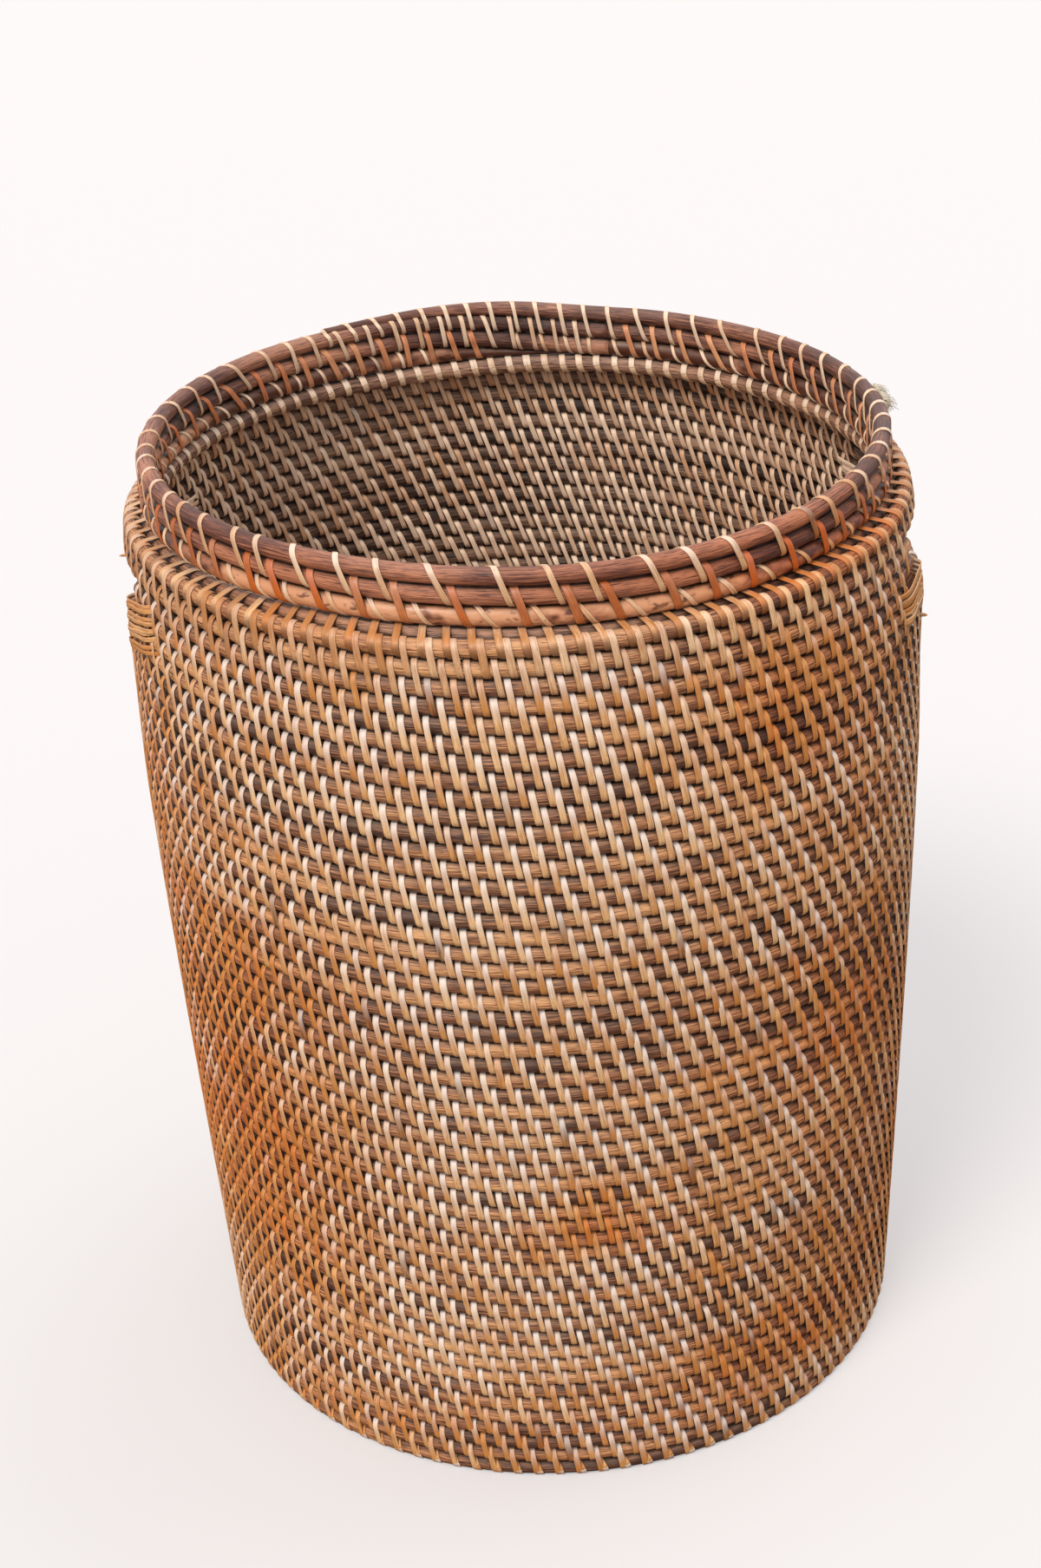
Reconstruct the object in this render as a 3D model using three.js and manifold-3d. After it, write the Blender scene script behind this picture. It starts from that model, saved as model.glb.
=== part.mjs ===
// Coiled rattan laundry basket, open at the top, with two hand-holes.
// Millimetres, +Z up. The origin is the middle of the underside, and the hand-holes lie on +X and -X.
import * as THREE from "three";
import { mergeVertices } from "three/addons/utils/BufferGeometryUtils.js";
import Module from "manifold-3d";

const wasm = await Module();
wasm.setup();

// Height of the wall up to the top of the shoulder row; the number of rows follows from it
const wallHeight = 481;

// Wall rods
const wallRod = 8.5;
const rowGap = 0.42;
const rowsPerPole = 3;
const rowsBesideHoles = 4;
const footFlat = 0.5;

// Outer shape of the wall, measured over the rods
const footRadius = 186;
const bellyRadius = 199.5;
const bellyHeight = 345;
const shoulderRadius = 193;
const taperPower = 1.25;

// Rim: the shoulder row closes the wall, the ledge rod lies inside it, and the collar stands on the ledge.
// Each collar rod is a little thinner than the one below it.
const ledgeRod = 9.6;
const ledgeRise = 2.5;
const collarRod = 9.7;
const collarTaper = 0.6;
const collarRows = 3;

// The ledge and the collar don't lie quite level: over the left hand-hole they stand this much higher
// than halfway between the holes, and over the right one as much lower
const collarSkew = 2.6;

// Base
const baseThickness = 8;
const baseLift = 0.4;
const baseGroove = 2.2;

// Hand-holes and the cane lashed round their upright edges
const holeWidth = 114;
const lashingLength = 24;
const lashingThickness = 1.8;
const lashingInset = 7;

// The space left between pieces that touch
const clearance = 0.3;

// Facets round the basket and round a rod, and the flat between two rods as a share of their radius
const facets = 28;
const rodSides = 8;
const seamShare = 0.5;

// Values worked out from the sizes above
const rowPitch = wallRod + rowGap;
const rodRadius = wallRod / 2;
const lowestRowHeight = rodRadius - footFlat;
const rowsOverHoles = 2;
const rowsInHeight = wallHeight / rowPitch;
const polesBelowHoles = Math.round((rowsInHeight - rowsBesideHoles - rowsOverHoles) / rowsPerPole);
const rowsBelowHoles = rowsPerPole * polesBelowHoles;
const gripRow = rowsBelowHoles + rowsBesideHoles;
const shoulderRow = gripRow + rowsOverHoles - 1;
const shoulderHeight = rowHeight(shoulderRow);
const wallTop = shoulderHeight + rodRadius;

const rattan = {
  wall: material(0xa5683a, 0.62),
  rim: material(0x6f3f2c, 0.55),
  collar: material(0x7d4630, 0.52),
  base: material(0x96603a, 0.66),
  cane: material(0xc99a62, 0.6),
};

function material(color, roughness) {
  return new THREE.MeshStandardMaterial({ color, roughness, metalness: 0 });
}

// Height of the middle of a wall row, with row 0 at the foot
function rowHeight(row) {
  return lowestRowHeight + row * rowPitch;
}

// Outer radius of the wall at a height: it widens up to the belly and draws in again under the rim
function wallRadius(z) {
  if (z < bellyHeight) {
    const down = (bellyHeight - z) / bellyHeight;
    return bellyRadius - (bellyRadius - footRadius) * Math.pow(down, taperPower);
  }
  const up = (z - bellyHeight) / (shoulderHeight - bellyHeight);
  return bellyRadius - (bellyRadius - shoulderRadius) * up * up;
}

function rodCentre(row) {
  const z = rowHeight(row);
  return new THREE.Vector2(wallRadius(z) - rodRadius, z);
}

// Outline of rods stacked in a band, as it is seen where the wall is cut through.
// Both faces bulge at each rod and are drawn in between two rods.
function bandOutline(firstRow, rows, grow) {
  const reach = rodRadius + grow;
  const flat = reach * seamShare;
  const low = rodCentre(firstRow);
  const high = rodCentre(firstRow + rows - 1);
  const bottom = firstRow === 0 ? Math.min(0, -grow) : low.y - reach;
  const outer = [new THREE.Vector2(low.x + flat, bottom)];
  const inner = [new THREE.Vector2(low.x - flat, bottom)];
  for (let i = 0; i < rows; i += 1) {
    const centre = rodCentre(firstRow + i);
    outer.push(new THREE.Vector2(centre.x + reach, centre.y));
    inner.push(new THREE.Vector2(centre.x - reach, centre.y));
    if (i < rows - 1) {
      const seam = rodCentre(firstRow + i + 1).add(centre).divideScalar(2);
      outer.push(new THREE.Vector2(seam.x + flat, seam.y));
      inner.push(new THREE.Vector2(seam.x - flat, seam.y));
    }
  }
  outer.push(new THREE.Vector2(high.x + flat, high.y + reach));
  inner.push(new THREE.Vector2(high.x - flat, high.y + reach));
  return [...outer, ...inner.reverse()];
}

// A ring turned from a closed outline
function ring(outline, facets) {
  const closed = [...outline, outline[0].clone()];
  const geometry = new THREE.LatheGeometry(closed, facets);
  geometry.rotateX(Math.PI / 2);
  return faceOutward(geometry);
}

// Keeps only the positions, joins shared corners and turns the faces to point out
function faceOutward(source) {
  let geometry = source.index ? source.toNonIndexed() : source;
  geometry.deleteAttribute("normal");
  geometry.deleteAttribute("uv");
  geometry = mergeVertices(geometry, 1e-4);
  const kept = [];
  const index = geometry.index.array;
  for (let i = 0; i < index.length; i += 3) {
    const [a, b, c] = [index[i], index[i + 1], index[i + 2]];
    if (a !== b && b !== c && c !== a) {
      kept.push(a, b, c);
    }
  }
  if (volume(geometry.attributes.position, kept) < 0) {
    kept.reverse();
  }
  geometry.setIndex(kept);
  return geometry;
}

function volume(position, index) {
  const a = new THREE.Vector3();
  const b = new THREE.Vector3();
  const c = new THREE.Vector3();
  let sum = 0;
  for (let i = 0; i < index.length; i += 3) {
    a.fromBufferAttribute(position, index[i]);
    b.fromBufferAttribute(position, index[i + 1]);
    c.fromBufferAttribute(position, index[i + 2]);
    sum += a.dot(b.cross(c)) / 6;
  }
  return sum;
}

function solid(geometry) {
  return new wasm.Manifold(
    new wasm.Mesh({
      numProp: 3,
      vertProperties: new Float32Array(geometry.attributes.position.array),
      triVerts: new Uint32Array(geometry.index.array),
    }),
  );
}

function geometryOf(body) {
  const mesh = body.getMesh();
  const geometry = new THREE.BufferGeometry();
  geometry.setAttribute("position", new THREE.BufferAttribute(new Float32Array(mesh.vertProperties), 3));
  geometry.setIndex(Array.from(mesh.triVerts));
  return geometry;
}

function part(name, geometry, look) {
  const mesh = new THREE.Mesh(geometry, look);
  mesh.name = name;
  return mesh;
}

function numbered(name, number) {
  return `${name}_${String(number).padStart(2, "0")}`;
}

// Outline of one rod, cut through
function rodOutline(radius, z, diameter) {
  const points = [];
  for (let i = 0; i < rodSides; i += 1) {
    const angle = (Math.PI * 2 * (i + 0.5)) / rodSides;
    const reach = diameter / 2 / Math.cos(Math.PI / rodSides);
    points.push(new THREE.Vector2(radius + reach * Math.cos(angle), z + reach * Math.sin(angle)));
  }
  return points;
}

// A wedge seen from above between two angles, tall and wide enough to cut the whole wall
function wedge(fromAngle, toAngle) {
  const reach = bellyRadius * 2;
  const widestStep = Math.PI / 6;
  const steps = Math.max(1, Math.ceil((toAngle - fromAngle) / widestStep));
  const shape = new THREE.Shape();
  shape.moveTo(0, 0);
  for (let i = 0; i <= steps; i += 1) {
    const angle = fromAngle + ((toAngle - fromAngle) * i) / steps;
    shape.lineTo(reach * Math.cos(angle), reach * Math.sin(angle));
  }
  shape.closePath();
  return solid(faceOutward(new THREE.ExtrudeGeometry(shape, { depth: wallTop, bevelEnabled: false })));
}

// The wall rods under the hand-holes: a pole winds round three times, then the next one follows on
function wallPoles() {
  const poles = [];
  for (let i = 0; i < polesBelowHoles; i += 1) {
    const outline = bandOutline(i * rowsPerPole, rowsPerPole, 0);
    poles.push(part(numbered("wall_pole", i + 1), ring(outline, facets), rattan.wall));
  }
  return poles;
}

// Half the angle that a hand-hole takes out of the wall
const holeHalfAngle = Math.asin(holeWidth / 2 / rodCentre(gripRow).x);

// The rows beside the hand-holes are cut short there, so they stay as a front and a back arc
function besideHoles() {
  const band = solid(ring(bandOutline(rowsBelowHoles, rowsBesideHoles, 0), facets));
  const back = band.intersect(wedge(holeHalfAngle, Math.PI - holeHalfAngle));
  const front = band.intersect(wedge(Math.PI + holeHalfAngle, Math.PI * 2 - holeHalfAngle));
  return [
    part("hole_side_rods_back", geometryOf(back), rattan.wall),
    part("hole_side_rods_front", geometryOf(front), rattan.wall),
  ];
}

// Cane wound round the cut ends of the rods on the four upright edges of the hand-holes.
// Each one is a sleeve that is open towards the wall, over all but the ends of the rows.
function lashings() {
  const outline = bandOutline(rowsBelowHoles, rowsBesideHoles, clearance);
  const wrap = bandOutline(rowsBelowHoles, rowsBesideHoles, lashingThickness + clearance);
  const lowEnd = rowHeight(rowsBelowHoles) - rodRadius;
  const highEnd = rowHeight(gripRow - 1) + rodRadius;
  const sleeve = solid(ring(clipped(wrap, lowEnd + lashingInset, highEnd - lashingInset), facets));
  const rods = solid(ring(outline, facets));
  const perMillimetre = 1 / rodCentre(gripRow).x;
  const names = ["right_back", "left_back", "left_front", "right_front"];
  return names.map((name, i) => {
    const left = name.startsWith("left");
    const side = left ? Math.PI : 0;
    const turn = i % 2 === 0 ? 1 : -1;
    const edge = side + turn * holeHalfAngle;
    const inner = edge - turn * (lashingThickness + clearance) * perMillimetre;
    const outer = edge + turn * lashingLength * perMillimetre;
    const cutEnd = edge - turn * clearance * perMillimetre;
    const past = outer + turn * holeHalfAngle;
    const cover = wedge(Math.min(inner, outer), Math.max(inner, outer));
    const rodWedge = wedge(Math.min(cutEnd, past), Math.max(cutEnd, past));
    const body = sleeve.intersect(cover).subtract(rods.intersect(rodWedge));
    return part(`edge_lashing_${name}`, geometryOf(body), rattan.cane);
  });
}

// Cuts an outline down to the part between two heights
function clipped(outline, low, high) {
  return outline.map((point) => new THREE.Vector2(point.x, THREE.MathUtils.clamp(point.y, low, high)));
}

// One rod bent into a ring
function rodRing(name, radius, z, diameter, look) {
  return part(name, ring(rodOutline(radius, z, diameter), facets), look);
}

// A ring that slopes up to the left
function slopingRing(name, radius, z, diameter, look) {
  const body = rodRing(name, radius, z, diameter, look);
  const slope = collarSkew / radius;
  const position = body.geometry.attributes.position;
  for (let i = 0; i < position.count; i += 1) {
    position.setZ(i, position.getZ(i) - slope * position.getX(i));
  }
  return body;
}

// The row over the hand-holes, the shoulder row on it, the ledge rod inside that and the collar above
function rimRods() {
  const grip = rodCentre(gripRow);
  const shoulder = rodCentre(shoulderRow);
  const ledgeX = shoulder.x - rodRadius - clearance - ledgeRod / 2;
  const ledgeHeight = shoulder.y + ledgeRise;
  const rods = [
    rodRing("grip_rod", grip.x, grip.y, wallRod, rattan.wall),
    rodRing("shoulder_rod", shoulder.x, shoulder.y, wallRod, rattan.wall),
    slopingRing("ledge_rod", ledgeX, ledgeHeight, ledgeRod, rattan.rim),
  ];
  let top = ledgeHeight + ledgeRod / 2;
  for (let i = 0; i < collarRows; i += 1) {
    const diameter = collarRod - i * collarTaper;
    const z = top + clearance + diameter / 2;
    rods.push(slopingRing(numbered("collar_rod", i + 1), ledgeX, z, diameter, rattan.collar));
    top = z + diameter / 2;
  }
  return rods;
}

// The base: a flat coil that lies inside the lowest rows of the wall. Its top is drawn in between two turns.
function base() {
  const lowest = rodCentre(0);
  const edge = lowest.x - rodRadius - clearance;
  const top = baseLift + baseThickness;
  const turns = Math.round(edge / (baseThickness + rowGap));
  const points = [new THREE.Vector2(0, baseLift)];
  points.push(new THREE.Vector2(edge - baseGroove, baseLift));
  points.push(new THREE.Vector2(edge, baseLift + baseThickness / 2));
  points.push(new THREE.Vector2(edge - baseGroove, top - baseGroove));
  for (let i = turns; i > 0; i -= 1) {
    points.push(new THREE.Vector2((edge * (i - 0.5)) / turns, top));
    points.push(new THREE.Vector2((edge * (i - 1)) / turns, top - baseGroove));
  }
  const geometry = new THREE.LatheGeometry(points, facets);
  geometry.rotateX(Math.PI / 2);
  return part("base_coil", faceOutward(geometry), rattan.base);
}

const basket = new THREE.Group();
basket.add(base(), ...wallPoles(), ...besideHoles(), ...lashings(), ...rimRods());

export default basket;
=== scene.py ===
import math
import bpy
import numpy as np
from mathutils import Matrix, Vector


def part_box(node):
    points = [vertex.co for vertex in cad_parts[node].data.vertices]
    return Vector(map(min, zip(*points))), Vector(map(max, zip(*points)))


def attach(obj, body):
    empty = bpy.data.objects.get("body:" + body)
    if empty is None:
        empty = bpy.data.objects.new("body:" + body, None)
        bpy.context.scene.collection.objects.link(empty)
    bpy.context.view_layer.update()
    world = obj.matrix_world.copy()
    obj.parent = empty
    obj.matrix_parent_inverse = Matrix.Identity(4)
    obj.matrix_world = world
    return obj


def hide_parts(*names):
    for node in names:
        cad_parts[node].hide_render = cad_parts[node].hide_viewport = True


# A coiled rattan laundry basket: rods wound row on row and bound with flat cane. Lengths are in metres,
# +Z is up, and the hand-holes are at the angles 0 and 180 degrees.
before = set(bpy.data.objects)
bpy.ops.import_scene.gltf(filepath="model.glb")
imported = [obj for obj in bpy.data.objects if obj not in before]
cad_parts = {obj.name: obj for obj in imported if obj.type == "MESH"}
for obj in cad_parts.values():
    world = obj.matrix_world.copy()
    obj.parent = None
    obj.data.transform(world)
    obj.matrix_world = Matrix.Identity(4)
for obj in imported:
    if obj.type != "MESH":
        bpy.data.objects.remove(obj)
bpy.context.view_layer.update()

# Cane of the wall. The strips are slimmer inside, they lean on the outside by a share of the way to the
# next one, and each row's strips are shifted from those of the next row by another share.
STRIP_WIDTH = 0.0031
STRIP_THICKNESS = 0.00042
RIM_STRIP_WIDTH = 0.0036
INNER_SLIMMER = 0.16
STITCHES = 105
OUTER_LEAN = 0.32
ROW_SHIFT = 0.40

# Rods: how many rows one pole makes, the steps of a ring, the sides of a rod's section, how far a rod strays
# from its line, and how thin its tip is
ROWS_PER_POLE = 3
RING_STEPS = 256
ROD_SIDES = 12
COIL_SIDES = 20
BASE_SIDES = 10
ROD_WANDER = 0.00009
THINNEST = 0.0004

# Where the used wall bulges: angle, height, reach round it in degrees, reach up and down, and how far out
WALL_BULGES = ((0, 0.436, 30, 0.032, 0.0037), (184, 0.455, 30, 0.042, 0.0025))

# Other places where the used basket isn't round or level: angle and reach in degrees, and how far
TOP_ROWS_RISE = (192, 41.2, 0.003)
LEDGE_BULGES = ((0, 34.6, 0.0022), (184, 26.5, 0.0032))
LEDGE_SAG = (212, 26.5, 0.0036)
COLLAR_BULGE = (186, 30, 0.0014)

# The top rows of the wall rise more and more between these heights
RISE_FROM = 0.4655
RISE_TO = 0.4765

# How far the ledge and the collar stand over their mean height round the rim, in degrees and millimetres
RIM_PLACES = (0, 46, 70, 106, 154, 214, 238, 286, 310, 334, 360)
RIM_RISES = (-2.0, -1.5, -0.3, -0.6, 3.2, 2.9, 2.1, -2.7, -2.6, -1.4, -2.0)

# The collar's rod is coiled round and round. In degrees along it: where it starts, where it has got to its
# full thickness, where its end begins to taper, and where it ends. Its turns lie a small gap apart, and some
# of it is shaved off under its end.
COIL_START = 72
COIL_THICK = 110
COIL_TAPER = 1160
COIL_END = 1204
COIL_GAP = 0.0002
COIL_SHAVED = 0.0022

# Spacing of the collar's cane round the rim, in degrees: closest at the back, widest at the front
COLLAR_PLACES = (0, 40, 66, 78, 100, 118, 150, 185, 225, 250, 285, 300, 330, 360)
COLLAR_SPACINGS = (6.2, 6.2, 5.0, 3.9, 4.3, 5.0, 7.2, 5.2, 6.2, 7.4, 7.4, 6.2, 5.6, 6.2)

# Where the collar's cane lies along the coil, in degrees, and its width: the brown strips, the pale ones,
# which go on to the coil's end, and the thin pale ones on the lowest turn alone
BROWN_START = 452
BROWN_END = 789
BROWN_WIDTH = 0.0034
PALE_START = 794
PALE_WIDTH = 0.0028
SINGLE_START = 100
SINGLE_END = 447
SINGLE_WIDTH = 0.0023

# Cane round the upright edges of the hand-holes. The hole's middle is at an angle in degrees, and way leads
# from there to the edge. The strips lie a spacing apart, and a gap more before some of them. Their middle is
# under the hole's middle, and outside they climb over their length.
LASHINGS = {
    "right_front": {"hole": 0, "way": -1, "count": 8, "spacing": 0.0024, "gaps": (3,), "gap": 0.0005,
                    "under": 0.0048, "climb": -0.0065, "length": 0.026, "width": 0.0023},
    "right_back": {"hole": 0, "way": 1, "count": 8, "spacing": 0.0023, "gaps": (4,), "gap": 0.003,
                   "under": 0.002, "climb": 0.002, "length": 0.022, "width": 0.0022},
    "left_front": {"hole": 180, "way": 1, "count": 9, "spacing": 0.0024, "gaps": (2, 5, 7), "gap": 0.0014,
                   "under": 0.003, "climb": 0.007, "length": 0.032, "width": 0.0023},
    "left_back": {"hole": 180, "way": -1, "count": 8, "spacing": 0.0024, "gaps": (2, 5), "gap": 0.0012,
                  "under": 0.002, "climb": 0.003, "length": 0.024, "width": 0.0023}}
LASHING_INSIDE = 0.024
LASHING_LIFT = 0.0032
LASHING_OVERHANG = 0.004

# How deep the ends of a lashing's strips dip into the wall, and over what length
OUTER_TUCK = (0.0045, 0.007)
INNER_TUCK = (0.003, 0.005)

# Tuft of frayed cane on the top rod
TUFT_ANGLES = (2.5, 9.5)
TUFT_FIBRES = 520
TUFT_LENGTH = 0.0042
TUFT_THICKNESS = 0.00022

# Places where the cane and the rods are more orange: angle, height, reach round the basket in degrees,
# reach up and down, and how much
WARM_PLACES = (
    (216, 0.19, 22, 0.13, 0.9), (193, 0.22, 15, 0.2, 0.45), (196, 0.40, 16, 0.07, 0.35),
    (320, 0.25, 22, 0.17, 0.7), (335, 0.482, 32, 0.012, 0.8), (325, 0.43, 26, 0.05, 0.3),
    (240, 0.482, 30, 0.01, 0.25), (304, 0.43, 10, 0.04, 0.4), (276, 0.165, 13, 0.026, 0.75),
    (310, 0.045, 34, 0.03, 0.6), (255, 0.03, 30, 0.03, 0.4), (352, 0.12, 24, 0.12, 0.7),
    (95, 0.2, 34, 0.14, 0.6), (40, 0.33, 22, 0.1, 0.6), (145, 0.1, 22, 0.07, 0.6),
    (275, 0.503, 62, 0.015, 0.45), (316, 0.494, 18, 0.012, 0.45))

# Light
FLOOR_COLOUR = (0.40, 0.385, 0.375)
FLOOR_GLOW = (0.385, 0.368, 0.372)
SKY_POWER = 0.85
KEY_POWER = 2.0
BACK_POWER = 0.55

# Camera, as the photograph was taken
EYE = Vector((0, -1.2312, 0.9646))
LOOK_DOWN = math.radians(28.026)
LOOK_ASIDE = math.radians(-0.347)
ROLL = math.radians(3.407)
FOCAL_LENGTH = 60.76
SENSOR = 36.0


# Angles, places and swellings

def unit(v):
    return v / np.linalg.norm(v, axis=-1, keepdims=True)


def outward(angle):
    """Directions straight out from the basket's axis."""
    return np.stack([np.cos(angle), np.sin(angle), 0 * angle], -1)


def onward(angle):
    """Directions round the basket, towards greater angles."""
    return np.stack([-np.sin(angle), np.cos(angle), 0 * angle], -1)


def upward(count):
    """Directions straight up."""
    return np.tile([0.0, 0.0, 1.0], (count, 1))


def placed(angle, r, z):
    """Points at angles, radii and heights."""
    points = outward(angle) * r[:, None]
    points[:, 2] = z
    return points


def waves(angle, seed, amplitude, harmonics):
    """A smooth wave round the basket that meets itself after a full turn."""
    rng = np.random.default_rng(seed)
    low, high = harmonics
    total = np.zeros_like(angle)
    for k in range(low, high):
        total = total + rng.normal() * np.sin(k * angle + rng.uniform(0, 2 * math.pi))
    return amplitude * total / math.sqrt(high - low)


def smooth_step(value):
    value = np.clip(value, 0, 1)
    return value * value * (3 - 2 * value)


def near(angle, place, reach, much=1.0):
    """A swelling round the basket: much at a place, and little beyond its reach, both in degrees."""
    turn = (np.degrees(angle) - place + 180) % 360 - 180
    return much * np.exp(-(turn / reach) ** 2)


def spots(angle, z, table):
    """What the swellings of a table add up to. Each has its angle, height, reaches and size."""
    total = 0.0
    for place, height, wide, tall, much in table:
        total = total + near(angle, place, wide, much) * np.exp(-((z - height) / tall) ** 2)
    return total


def settle(angle, r, z):
    """Where a place in the wall lies on the used basket: the wall bulges a little beside the hand-holes, and
    its top rows lie higher at the left."""
    risen = near(angle, *TOP_ROWS_RISE) * np.clip((z - RISE_FROM) / (RISE_TO - RISE_FROM), 0, 1)
    return r + spots(angle, z, WALL_BULGES), z + risen


# Skins and meshes

def circle(sides):
    """A round section that starts at the bottom, where a rod's seam doesn't show."""
    return outward(np.arange(sides) * 2 * math.pi / sides - math.pi / 2)[:, :2]


def strip_outline(width, thickness):
    """Section of a cane strip: flat below, a little crowned above, with rounded edges."""
    across = np.array([-0.5, -0.49, -0.36, 0.36, 0.49, 0.5])
    above = np.array([-0.5, 0.25, 0.58, 0.58, 0.25, -0.5])
    return np.stack([across * width, above * thickness], -1)[::-1]


def sweep(points, side, up, outline, closed, tone):
    """A skin round a line of points. The outline is measured along side and up at each point."""
    n, m = len(points), outline.shape[-2]
    co = points[:, None] + side[:, None] * outline[..., :1] + up[:, None] * outline[..., 1:]
    turned = np.vstack([points, points[:1]]) if closed else points
    along = np.concatenate([[0.0], np.cumsum(np.linalg.norm(np.diff(turned, axis=0), axis=1))])
    rim = outline if outline.ndim == 2 else outline[0]
    edge = np.linalg.norm(np.diff(np.vstack([rim, rim[:1]]), axis=0), axis=1)
    across = np.concatenate([[0.0], np.cumsum(edge)])
    i = np.arange(n if closed else n - 1)[:, None]
    j = np.arange(m)[None]
    k = (j + 1) % m
    nxt = (i + 1) % n
    corners = np.stack([i * m + j, nxt * m + j, nxt * m + k, i * m + k], -1).reshape(-1, 4)
    a0, a1 = along[i] + 0 * j, along[i + 1] + 0 * j
    c0, c1 = across[j] + 0 * i, across[j + 1] + 0 * i
    uv = np.stack([np.stack([a0, c0], -1), np.stack([a1, c0], -1),
                   np.stack([a1, c1], -1), np.stack([a0, c1], -1)], -2).reshape(-1, 4, 2)
    if not closed:
        # The open ends are closed with fans of four-sided faces
        for first, place in ((0, along[0]), ((n - 1) * m, along[-1])):
            fan = np.array([[0, q + 1, q + 2, q + 3] for q in range(0, m - 2, 2)])
            cap = first + (fan if first == 0 else fan[:, ::-1])
            flat = np.stack([np.full(fan.shape, place), across[np.minimum(fan, m)]], -1)
            flat[:, 1:3, 0] += across[-1] / 4 if first == 0 else -across[-1] / 4
            corners = np.vstack([corners, cap])
            uv = np.vstack([uv, flat])
    quad = co.reshape(-1, 3)[corners]
    middle = quad.mean(1)
    area = np.cross(quad[:, 2] - quad[:, 0], quad[:, 3] - quad[:, 1])
    if ((middle - co.reshape(-1, 3).mean(0)) * area).sum() < 0:
        corners, uv = corners[:, ::-1], uv[:, ::-1]
    return {"co": co.reshape(-1, 3), "corners": corners, "uv": uv, "length": along[-1],
            "round": across[-1], "tone": np.repeat(tone, m, 0)}


def tape_map(skins):
    """Lays the skins of a mesh end to end as a tape, and cuts the tape into lines that fill a square."""
    total = sum(s["length"] for s in skins)
    tall = max(s["round"] for s in skins)
    lines = max(1, math.ceil(math.sqrt(total / tall / 1.1)))
    line_length = total / lines * 1.0001
    laid, start = [], 0.0
    for s in skins:
        along = s["uv"][..., 0] + start
        line = np.floor(along.min(1) / line_length).clip(0, lines - 1)[:, None]
        u = (along / line_length - line).clip(0, 1)
        v = (line + 0.05 + 0.9 * s["uv"][..., 1] / tall) / lines
        laid.append(np.stack([u, v], -1))
        start += s["length"]
    return np.concatenate(laid)


def warmth(co):
    """How orange the rattan is at each point, from 0 to 1."""
    angle = np.arctan2(co[:, 1], co[:, 0])
    total = 0.12 + waves(angle, 17, 0.05, (2, 9)) + 0.06 * np.sin(co[:, 2] * 40 + angle * 2)
    return (total + spots(angle, co[:, 2], WARM_PLACES)).clip(0, 1)


def mesh_piece(name, skins, look, replaces=()):
    """One smooth mesh made of skins. Its maps are Grain, in metres, and OFBake, and its attributes are Tone,
    the skins' own, and Warmth."""
    counts = np.cumsum([0] + [len(s["co"]) for s in skins])
    co = np.concatenate([s["co"] for s in skins])
    co[:, 2] = co[:, 2].clip(0)
    corners = np.concatenate([s["corners"] + c for s, c in zip(skins, counts)])
    shift = np.cumsum([0.0] + [s["length"] + 0.11 for s in skins])
    grain = np.concatenate([s["uv"] + np.array([t, 0.037 * i]) for i, (s, t) in enumerate(zip(skins, shift))])
    tone = np.concatenate([s["tone"] for s in skins])
    mesh = bpy.data.meshes.new(name)
    mesh.vertices.add(len(co))
    mesh.vertices.foreach_set("co", co.astype(np.float32).ravel())
    mesh.loops.add(corners.size)
    mesh.loops.foreach_set("vertex_index", corners.astype(np.int32).ravel())
    mesh.polygons.add(len(corners))
    mesh.polygons.foreach_set("loop_start", np.arange(len(corners), dtype=np.int32) * 4)
    mesh.update(calc_edges=True)
    for title, places in (("Grain", grain), ("OFBake", tape_map(skins))):
        layer = mesh.uv_layers.new(name=title)
        layer.data.foreach_set("uv", places.astype(np.float32).ravel())
    tones = mesh.attributes.new("Tone", "FLOAT_COLOR", "POINT")
    tones.data.foreach_set("color", tone.astype(np.float32).ravel())
    warm = mesh.attributes.new("Warmth", "FLOAT", "POINT")
    warm.data.foreach_set("value", warmth(co).astype(np.float32))
    mesh.polygons.foreach_set("use_smooth", np.ones(len(corners), bool))
    mesh.materials.append(look)
    mesh.update()
    piece = bpy.data.objects.new(name, mesh)
    bpy.context.scene.collection.objects.link(piece)
    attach(piece, "root")
    if replaces:
        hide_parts(*replaces)
    return piece


# The rods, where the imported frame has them

def node_points(node):
    return np.array([v.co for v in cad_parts[node].data.vertices])


def reach_at(node, z, within):
    """Outer radius of a node at a height."""
    co = node_points(node)
    level = co[np.abs(co[:, 2] - z) < within]
    return float(np.hypot(level[:, 0], level[:, 1]).max())


grip_low, grip_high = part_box("grip_rod")
ROD = (grip_high.z - grip_low.z) / 2
POLES = sorted(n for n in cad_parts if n.startswith("wall_pole_"))
second_low, second_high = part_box(POLES[1])
PITCH = (second_high.z - second_low.z - 2 * ROD) / (ROWS_PER_POLE - 1)
FOOT_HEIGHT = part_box(POLES[0])[1].z - ROD - (ROWS_PER_POLE - 1) * PITCH
POLE_ROWS = ROWS_PER_POLE * len(POLES)
GRIP_ROW = round((grip_low.z + ROD - FOOT_HEIGHT) / PITCH)
SHOULDER_ROW = GRIP_ROW + 1


def node_of(row):
    if row < POLE_ROWS:
        return POLES[row // ROWS_PER_POLE]
    if row < GRIP_ROW:
        return "hole_side_rods_back"
    return "grip_rod" if row == GRIP_ROW else "shoulder_rod"


def row_centre(row):
    """Radius and height of the middle of a row's rod."""
    z = FOOT_HEIGHT + row * PITCH
    return reach_at(node_of(row), z, PITCH * 0.3) - ROD, z


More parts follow.
